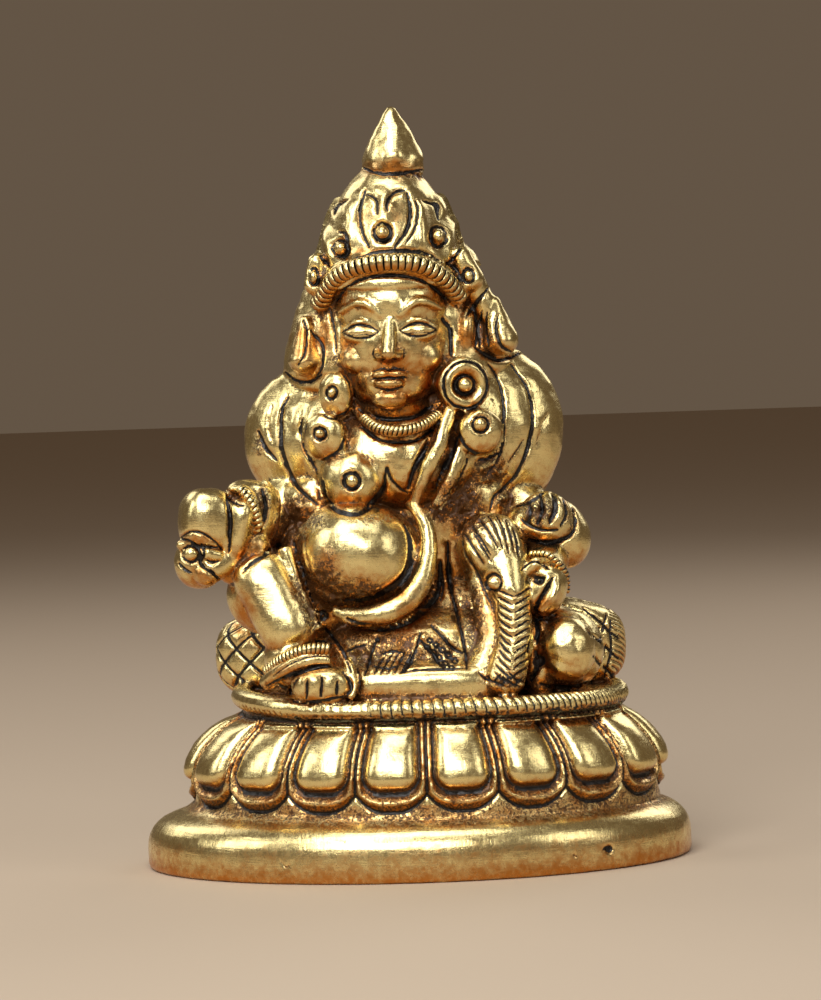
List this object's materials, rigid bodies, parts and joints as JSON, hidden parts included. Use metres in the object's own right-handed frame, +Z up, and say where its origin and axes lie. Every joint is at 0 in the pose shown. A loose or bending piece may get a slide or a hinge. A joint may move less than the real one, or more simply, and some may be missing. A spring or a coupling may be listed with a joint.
{
  "type": "kubera figure",
  "caption": "Small seated brass idol with a citron, a mongoose and a pointed crown, cast in one piece with an oval lotus plinth.",
  "frame": {"origin": "middle of the flat underside of the oval plinth", "axes": "+Z up through the finial, the figure faces -Y, +X to the viewer's right"},
  "size_m": [0.054, 0.038, 0.0746],
  "materials": {
    "brass": "satin hand-brushed brass with brown-black patina left in the recesses"
  },
  "bodies": {
    "root": {"kubera_figure": "brass"}
  },
  "joints": []
}
